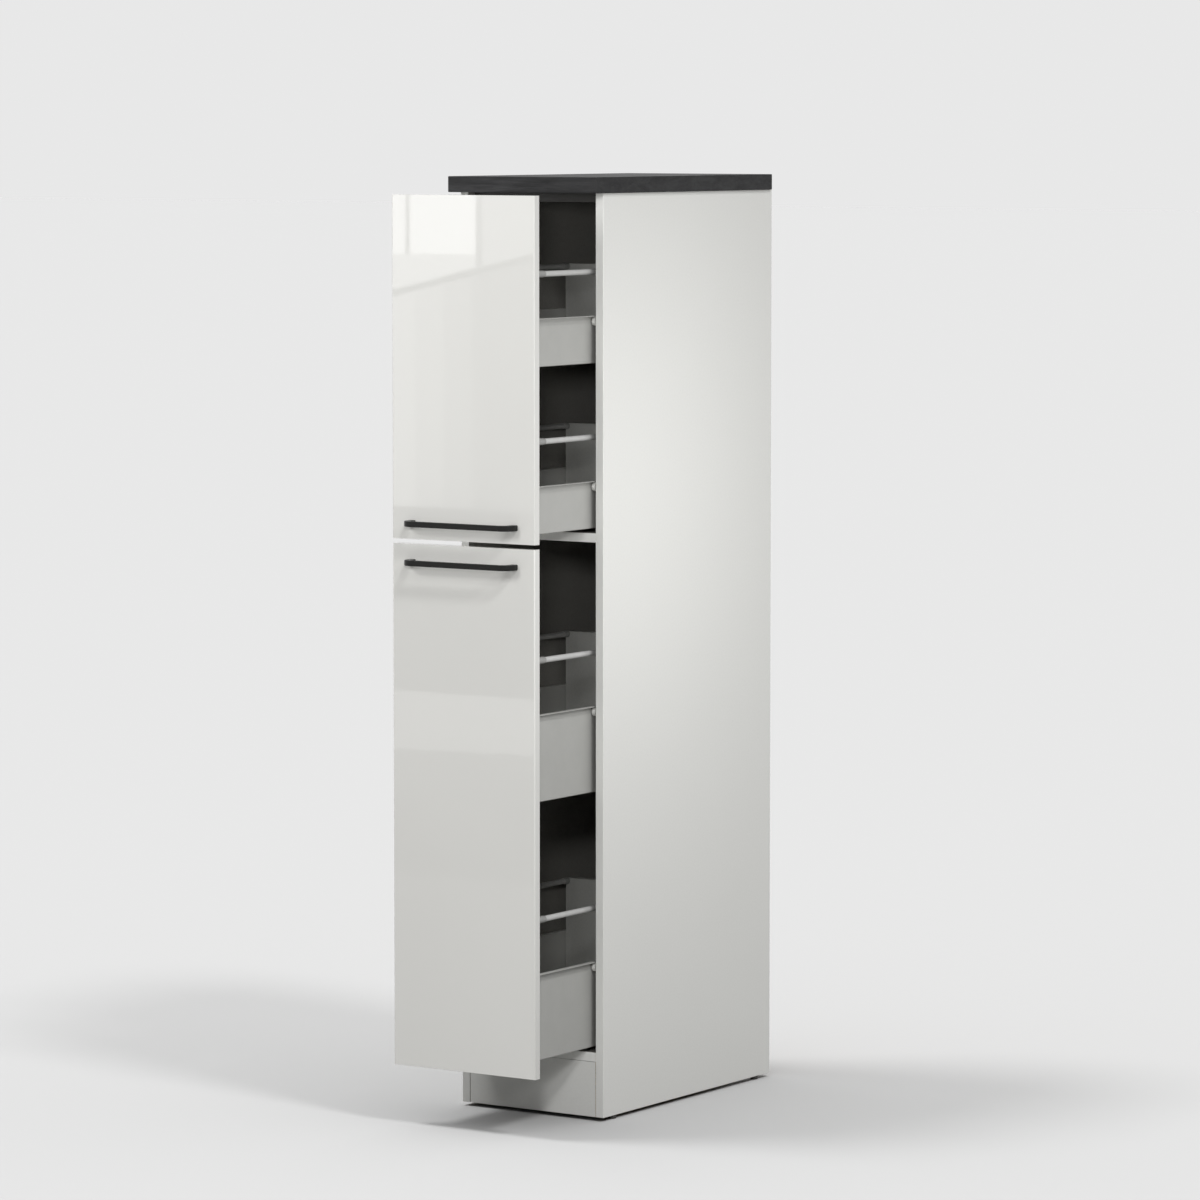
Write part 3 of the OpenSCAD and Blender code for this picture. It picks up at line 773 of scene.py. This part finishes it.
def make_back():
    """The fibreboard back, dark inside, the strip over its joint and the wall brackets."""
    for half in ("lower", "upper"):
        node = "back_panel_" + half
        low, high = span(node)
        core = (low[1] + high[1]) / 2
        eased_copy(node + "_faced", node, 0.15 * MM, ["back_fibre", "board_graphite"],
                   [(lambda middle, normal, c=core: (normal[1] < -0.5) & (middle[1] < c), 1)])
    low, high = span("back_joint_strip")
    half_web = 0.5 * MM
    z_mid = (low[2] + high[2]) / 2
    flange = high[1] - STEEL
    outline = [(low[1], z_mid - half_web), (flange, z_mid - half_web), (flange, low[2]),
               (high[1], low[2]), (high[1], high[2]), (flange, high[2]),
               (flange, z_mid + half_web), (low[1], z_mid + half_web)]
    radii = np.array([0.1, 0.1, 0.2, 0.6, 0.6, 0.2, 0.1, 0.1]) * MM
    rows = carried(eased(outline, radii), low[0], high[0], 0, 0.2 * MM)
    piece("joint_strip", skin(rows), "back_joint_strip", ["strip_plastic"])
    eased_copy("brackets_plated", "wall_brackets", 0.3 * MM, ["zinc"])


def make_plinth():
    """The plinth, with the fitting joints beside it and above it. Its ends are bare."""
    low, high = span("plinth_board")
    joint = 0.6 * MM
    outline = eased(rectangle(low[1:], (high[1], high[2] - joint)), 0.4 * MM)
    rows = carried(outline, low[0] + joint, high[0] - joint, 0, 0.3 * MM)
    piece("plinth_faced", skin(rows), "plinth_board", ["board_white", "chipboard"],
          [(looks_along(0), 1), (looks_along(1, 1), 0)])


def make_worktop():
    """The top's upright section, rounded along its long edges, carried from end to end."""
    low, high = span("worktop")
    outline = eased(rectangle(low[1:], high[1:]), 2.0 * MM, 6)
    rows = carried(outline, low[0], high[0], 0, 0.5 * MM, 4)
    # The end faces take the darker copy of the laminate: painted shade
    piece("worktop_slab", skin(rows), "worktop", ["worktop", "worktop_end_shaded"],
          [(looks_along(0), 1)])


def make_glides():
    """Each glide is a turned foot, with a chamfered tread and a slightly sunk middle."""
    low, high = span("glides")
    radius = 7 * MM
    profile = np.array([[1.5, 0.9], [3.4, 0.7], [4.4, 0.0], [6.0, 0.0], [6.7, 0.5], [7.0, 1.3],
                        [7.0, 4.6], [6.8, 5.0], [6.8, 5.4], [6.8, high[2] / MM]]) * MM
    shells = [skin(turned(profile, (x, y, 0), 2))
              for x in (low[0] + radius, high[0] - radius)
              for y in (low[1] + radius, high[1] - radius)]
    piece("glide_feet", joined(*shells), "glides", ["glide_plastic"], limit=50)


def recess_head(radius, height, centre, axis, sign, cross, dome=0.25, rings=14, around=64):
    """A round head seen from its outer side: its face is a low dome, and a cross is sunk in it.
    The depth of the cross is a smooth step of the distance to the nearer of its two arms,
    and fades towards the arms' ends."""
    ring = np.linspace(0.02, 1.0, rings)[:, None] * radius
    angle = np.linspace(0, 2 * math.pi, around, endpoint=False) + math.pi / around
    x, y = ring * np.cos(angle), ring * np.sin(angle)
    near, far = np.minimum(np.abs(x), np.abs(y)), np.maximum(np.abs(x), np.abs(y))
    arm, length, depth = cross
    arm_slope, end_slope = 0.35 * arm, 0.25 * length
    across = np.clip((arm - near) / arm_slope + 0.5, 0, 1)
    along = np.clip((length - far) / end_slope + 0.5, 0, 1)
    rise = height - dome * height * (ring / radius) ** 2 - depth * across * along
    flat = np.stack([x, y], -1)
    face = set_along(flat, sign * rise, axis)
    wall = set_along(flat[-1:], np.zeros((1, around)), axis)
    return skin(np.concatenate([face, wall]) + np.asarray(centre, float))


def make_cam_locks():
    """Twelve cam locks, flush under their boards, each with a cross in its face. A rail has them
    near its front edge only."""
    low, high = span("cam_locks")
    radius, depth, edge = 7.5 * MM, 12.5 * MM, 50 * MM
    cross = (1.1 * MM, 3.6 * MM, 3.0 * MM)
    shells = []
    for node in ("bottom_board", "middle_board", "front_top_rail", "rear_top_rail"):
        board_low, board_high = span(node)
        rows = [board_low[1] + edge]
        if "board" in node:
            rows.append(board_high[1] - edge)
        for x in (low[0] + radius, high[0] - radius):
            for y in rows:
                top = (x, y, board_low[2] + depth)
                shells.append(recess_head(radius, depth - 0.2 * MM, top, 2, -1, cross, 0.0))
    piece("cam_lock_bodies", joined(*shells), "cam_locks", ["zinc"], limit=30)


# ---------------------------------------------------------------- fronts and handles

BOW_OUTER_R, BOW_INNER_R = 22 * MM, 10 * MM
BOW_FOOT, BOW_BAR, BOW_CORNER = 13.5 * MM, 7.5 * MM, 1.6 * MM


def make_fronts():
    """A front keeps its screw holes. Its outer face and long arrises are glossy and its back
    isn't;
    its upright ends are glossy too, in a darker copy that is painted shade."""
    for half in ("upper", "lower"):
        node = "front_" + half
        back = span(node)[1][1] - 1.2 * MM
        eased_copy(node + "_faced", node, 0.7 * MM,
                   ["front_gloss", "board_white", "front_end_shaded"],
                   [(lambda middle, normal, b=back: middle[1] > b, 1),
                    (lambda middle, normal: np.abs(normal[0]) > 0.95, 2)])


def bow_line(half_length, depth, radius, bend_steps=14, foot_steps=6, bar_steps=8):
    """A bow's line in plan from its left foot round two bends to its right, as distances from the
    middle and from the front: a straight foot, a quarter circle and half the bar, then the
    same mirrored."""
    turn = np.linspace(0, math.pi / 2, bend_steps)
    foot = np.stack([np.full(foot_steps, half_length),
                     np.linspace(0, depth - radius, foot_steps)], 1)
    bend = np.stack([half_length - radius + radius * np.cos(turn),
                     depth - radius + radius * np.sin(turn)], 1)
    bar = np.linspace(half_length - radius, 0, bar_steps)
    half = np.r_[foot, bend[1:], np.stack([bar, np.full(bar_steps, depth)], 1)[1:]]
    return np.r_[half * [-1, 1], half[::-1][1:]]


def make_handles():
    """A bow: a rounded bar section carried along the middle line between the handle's outer and
    inner line in plan. The section's corners keep their radius where the bow widens."""
    corner_share = 0.25
    ring = eased(rectangle((-0.5, -0.5), (0.5, 0.5)), corner_share, 4)
    sign = np.sign(ring)
    inset = (0.5 - np.abs(ring)) * BOW_CORNER / corner_share
    for half in ("upper", "lower"):
        low, high = span("handle_" + half)
        face, half_length, height = high[1], high[0], high[2] - low[2]
        reach, z_mid = face - low[1], (low[2] + high[2]) / 2
        outside = bow_line(half_length, reach, BOW_OUTER_R)
        inside = bow_line(half_length - BOW_FOOT, reach - BOW_BAR, BOW_INNER_R)
        middle, across = (outside + inside) / 2, outside - inside
        width = np.linalg.norm(across, axis=1)[:, None]
        aside = sign[:, 0] * (width / 2 - inset[:, 0])
        up = np.broadcast_to(sign[:, 1] * (height / 2 - inset[:, 1]), aside.shape)
        plan = middle[:, None] + (across / width)[:, None] * aside[..., None]
        rows = np.stack([plan[..., 0], face - plan[..., 1], z_mid + up], -1)
        piece("handle_bow_" + half, skin(rows), "handle_" + half, ["handle_black"], limit=40)


def make_handle_screws():
    """Two screws to a handle: a head with a cross in the front's back, and a threaded shank whose
    radius swells once to each turn."""
    head_r, head_h, shank_r = 4 * MM, 2.8 * MM, 2 * MM
    pitch, thread, step = 0.7 * MM, 0.25 * MM, 0.175 * MM
    cross = (0.45 * MM, 2.1 * MM, 1.4 * MM)
    for half in ("upper", "lower"):
        low, high = span("handle_screws_" + half)
        z_mid = (low[2] + high[2]) / 2
        start, end = low[1], high[1] - head_h
        run = np.arange(start, end, step) - start
        radius = shank_r - thread * (0.5 + 0.5 * np.cos(run / pitch * 2 * math.pi))
        profile = np.r_[[[1.2 * MM, 0.0]], np.stack([radius, run], 1)]
        shells = []
        for x in (low[0] + head_r, high[0] - head_r):
            shells.append(skin(turned(profile, (x, start, z_mid), 1, 24)))
            shells.append(recess_head(head_r, head_h, (x, end, z_mid), 1, 1, cross))
        piece("handle_bolts_" + half, joined(*shells), "handle_screws_" + half, ["zinc"])


# ---------------------------------------------------------------- drawers and runners

# Places across the unit, from its middle plane
WALL_INNER, WALL_OUTER, FLANGE_EDGE = 120.3 * MM, 121.5 * MM, 131.6 * MM
PANEL_FACE, CHANNEL_DEPTH = 134 * MM, 10.55 * MM
PIN_INNER, PIN_OUTER, PIN_R = 123.45 * MM, 130.85 * MM, 2 * MM
ROLLER_R, WHEEL_R, ROLLER_W = 8 * MM, 6 * MM, 7 * MM
SCREWS_ALONG = (60 * MM, 250 * MM, 440 * MM)
TRAVEL_OUT = 182.8 * MM


def make_drawer(stem, body):
    """The steel sides, boards, rails, sleeves and brackets of one drawer."""
    for sign, side in SIDES:
        make_drawer_side(stem, sign, side)

    low, high = span(stem + "base")
    outline = eased(rectangle(low[1:], high[1:]), 0.4 * MM)
    rows = carried(outline, low[0], high[0], 0, 0.3 * MM)
    piece(stem + "floor", skin(rows), stem + "base", ["drawer_board", "chipboard"],
          [(looks_along(0), 1)])

    low, high = span(stem + "back")
    outline = eased(rectangle((low[0], low[2]), (high[0], high[2])), 1.0 * MM, 4)
    rows = carried(outline, low[1], high[1], 1, 0.6 * MM)
    piece(stem + "back_board", skin(rows), stem + "back", ["drawer_board"])

    make_rails(stem)
    make_front_angles(stem, body)


def make_front_angles(stem, body):
    """The angles behind the front, each a bent strip carried upwards, and the screws in them."""
    low, high = span(stem + "front_brackets")
    clip, wide, long = 1.5 * MM, 20 * MM, 30 * MM
    x, y = high[0], low[1]
    angle = [(x, y), (x, y + long), (x - clip, y + long), (x - clip, y + clip),
             (x - wide, y + clip), (x - wide, y)]
    radii = np.array([2.2, 0.4, 0.4, 0.7, 0.4, 0.4]) * MM
    rows = carried(eased(angle, radii, 4), low[2], high[2], 2, 0.3 * MM)
    piece(stem + "corner_angles", mirrored(skin(rows)), stem + "front_brackets", ["zinc"])

    count = 2 if high[2] - low[2] < 80 * MM else 3
    cross = (0.4 * MM, 1.8 * MM, 1.0 * MM)
    heads = [recess_head(3.4 * MM, 1.7 * MM, (x - wide + 7 * MM, y + clip, z), 1, 1, cross, 0.5)
             for z in np.linspace(low[2] + 12 * MM, high[2] - 10 * MM, count)]
    name = stem + "front_bolts"
    bolts = in_scene(name, shell_mesh(name, mirrored(joined(*heads)), ["zinc"]))
    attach(bolts, body)


def pin_profile(root, near, far):
    """A pin's radii and places along X: a collar from the root, the shank on which the roller
    turns, from near to far, and a rounded head."""
    way = math.copysign(1, far - near)
    return np.array([[3.2 * MM, root], [3.2 * MM, near - way * 0.2 * MM], [3.0 * MM, near],
                     [PIN_R, near], [PIN_R, far], [3.0 * MM, far],
                     [3.2 * MM, far + way * 0.2 * MM], [3.2 * MM, far + way * 0.6 * MM]])


def make_drawer_side(stem, sign, side):
    """A steel side is its folded section carried along its length: a foot in under the base, the
    wall, and a flange out at the rim. A tab closes its rear end and a pin carries its wheel."""
    node = stem + "side_" + side
    low, high = span(node)
    foot, tab_w = WALL_INNER - 12 * MM, 14 * MM
    bottom, rim = low[2], high[2]
    section = [(foot, bottom), (WALL_OUTER, bottom), (WALL_OUTER, rim - STEEL),
               (FLANGE_EDGE, rim - STEEL), (FLANGE_EDGE, rim), (WALL_INNER, rim),
               (WALL_INNER, bottom + STEEL), (foot, bottom + STEEL)]
    radii = np.array([0.3, 2.0, 0.8, 0.5, 0.5, 2.0, 0.8, 0.3]) * MM
    fold = skin(carried(eased(section, radii, 5), low[1], high[1], 1, 0.3 * MM))
    tab_low, tab_high = span(stem + "base")[1][2] + 1 * MM, rim - 2.8 * MM
    tab = rectangle((WALL_INNER - tab_w, tab_low), (WALL_INNER + 0.01 * MM, tab_high))
    tab = skin(carried(eased(tab, [3 * MM, 0.1 * MM, 0.1 * MM, 3 * MM], 5),
                       high[1] - STEEL, high[1], 1, 0.25 * MM))
    wheel_low = span(stem + "wheels")[0]
    y, z = wheel_low[1] + WHEEL_R, wheel_low[2] + WHEEL_R
    pin = pin_profile(WALL_OUTER - 0.01 * MM, PIN_INNER, PIN_OUTER)
    pin = np.r_[pin, [[2.6 * MM, PIN_OUTER + 0.8 * MM]]]
    shell = joined(fold, tab, skin(turned(pin, (0, y, z), 0, 32)))
    if sign < 0:
        shell = flipped(shell)
    piece(stem + "wall_" + side, shell, node, ["drawer_steel"], limit=40)


def make_rails(stem):
    """A rail is a rod with eased ends. A sleeve is turned: a collar, a waist and a closed end."""
    low, high = span(stem + "rails")
    radius, bore = 5 * MM, 5.05 * MM
    x, z = high[0] - radius, (low[2] + high[2]) / 2
    length = high[1] - low[1]
    rod = np.array([[4.2 * MM, 0], [4.8 * MM, 0.2 * MM], [radius, 0.8 * MM],
                    [radius, length - 0.8 * MM], [4.8 * MM, length - 0.2 * MM],
                    [4.2 * MM, length]])
    rod = skin(turned(rod, (x, low[1], z), 1, 40))
    piece(stem + "rods", mirrored(rod), stem + "rails", ["rail_metal"])
    start, end = span(stem + "rail_sleeves")
    shells = []
    for y, way, sleeve in ((start[1], 1, 60 * MM), (end[1], -1, 14 * MM)):
        profile = np.array([[bore, 3 * MM], [bore, sleeve], [5.4 * MM, sleeve],
                            [5.7 * MM, sleeve - 0.3 * MM], [5.7 * MM, sleeve - 2.4 * MM],
                            [5.9 * MM, sleeve - 2.8 * MM], [6.0 * MM, sleeve - 3.4 * MM],
                            [6.0 * MM, 1.0 * MM], [5.8 * MM, 0.3 * MM], [5.4 * MM, 0.0],
                            [0.3 * MM, 0.0], [0.3 * MM, 3 * MM]])
        profile[:, 1] *= way
        shells.append(skin(turned(profile, (x, y, z), 1, 40), closed_path=True))
    piece(stem + "rod_sleeves", mirrored(joined(*shells)), stem + "rail_sleeves",
          ["sleeve_plastic"])


def make_roller(stem, kind, name):
    """A roller is a closed loop of radius and width turned round its bore, with a groove in each
    face and its tread eased."""
    low, high = span(stem + kind)
    outer, bore = (high[2] - low[2]) / 2, PIN_R + 0.05 * MM
    y, z = (low[1] + high[1]) / 2, (low[2] + high[2]) / 2
    web = outer - bore
    inner_g, outer_g = bore + 0.4 * web, bore + 0.72 * web
    deep, slope, ease = 1.2 * MM, 0.2 * MM, 0.5 * MM
    face = [(bore + slope, 0), (inner_g, 0), (inner_g + slope, deep), (outer_g - slope, deep),
            (outer_g, 0), (outer - ease, 0), (outer - 0.3 * ease, 0.3 * ease), (outer, ease)]
    far = [(radius, ROLLER_W - across) for radius, across in face[::-1]]
    loop = np.array(face + far + [(bore, ROLLER_W - 0.3 * MM), (bore, 0.3 * MM)])
    wheel = skin(turned(loop, (high[0] - ROLLER_W, y, z), 0), closed_path=True)
    piece(stem + name, mirrored(wheel), stem + kind, ["roller_plastic"], limit=40)


def make_runner(stem):
    """A runner is one folded section carried along its length: a web on the panel and a channel
    open towards the drawer, with a plate at its front end, a strip below it, screws, the
    roller's pin and the stop."""
    low, high = span(stem + "runners")
    wheel_low, wheel_high = span(stem + "wheels")
    roller_low, roller_high = span(stem + "rollers")
    web, lip = PANEL_FACE - STEEL, PANEL_FACE - CHANNEL_DEPTH
    top, track = high[2], wheel_low[2] - 0.3 * MM
    front, rear = low[1], high[1]
    channel_front = roller_low[1] + 2 * ROLLER_R + 3 * STEEL
    section = [(PANEL_FACE, track - STEEL), (PANEL_FACE, top), (lip, top), (lip, top - STEEL),
               (web, top - STEEL), (web, track), (lip, track), (lip, track - STEEL)]
    radii = np.array([1.4, 1.4, 0.4, 0.4, 0.6, 0.6, 0.4, 0.4]) * MM
    channel = skin(carried(eased(section, radii, 4), channel_front, rear, 1, 0.3 * MM))
    plate = rectangle((front, low[2]), (channel_front + 6 * MM, top))
    plate = skin(carried(eased(plate, [4 * MM, 3 * MM, 0.6 * MM, 4 * MM], 5), web, PANEL_FACE,
                         0, 0.25 * MM))
    strip = rectangle((channel_front, low[2]), (rear, track))
    strip = skin(carried(eased(strip, [0.5 * MM, 3 * MM, 0.5 * MM, 0.5 * MM], 5), web,
                         PANEL_FACE, 0, 0.25 * MM))
    y, z = (roller_low[1] + roller_high[1]) / 2, (roller_low[2] + roller_high[2]) / 2
    pin = pin_profile(web + 0.01 * MM, PIN_OUTER, PIN_INNER)
    pin = np.r_[pin, [[2.4 * MM, PIN_INNER - 0.8 * MM]]]
    shells = [channel, plate, strip, skin(turned(pin, (0, y, z), 0, 32))]
    wheel_z = (wheel_low[2] + wheel_high[2]) / 2
    cross = (0.4 * MM, 1.7 * MM, 0.5 * MM)
    for along in SCREWS_ALONG:
        shells.append(recess_head(3.2 * MM, 0.8 * MM, (web, front + along, wheel_z), 0, -1,
                                  cross, 0.4))
    stop_rear = wheel_low[1] - TRAVEL_OUT
    stop = rectangle((stop_rear - 4 * MM, track - 0.01 * MM), (stop_rear, track + 2 * MM))
    shells.append(skin(carried(eased(stop, [0.1 * MM, 0.1 * MM, 0.5 * MM, 0.5 * MM], 3),
                               lip, PANEL_FACE, 0, 0.1 * MM)))
    piece(stem + "channels", mirrored(joined(*shells)), stem + "runners", ["drawer_steel"])


# ---------------------------------------------------------------- the scene

bpy.context.scene.view_settings.view_transform = "Standard"
make_camera()
make_sky()
studio_floor = make_floor()
make_board_finishes()
make_fitting_finishes()

make_side_panels()
make_boards()
make_back()
make_plinth()
make_worktop()
make_glides()
make_cam_locks()
make_fronts()
make_handles()
make_handle_screws()
for drawer in DRAWERS:
    drawer_stem = f"drawer_{drawer}_"
    make_drawer(drawer_stem, "pullout_" + PULLOUT[drawer])
    make_roller(drawer_stem, "rollers", "front_rollers")
    make_roller(drawer_stem, "wheels", "rear_wheels")
    make_runner(drawer_stem)

make_lamps(studio_floor)
for card_values in CARDS:
    gloss_card(*card_values)
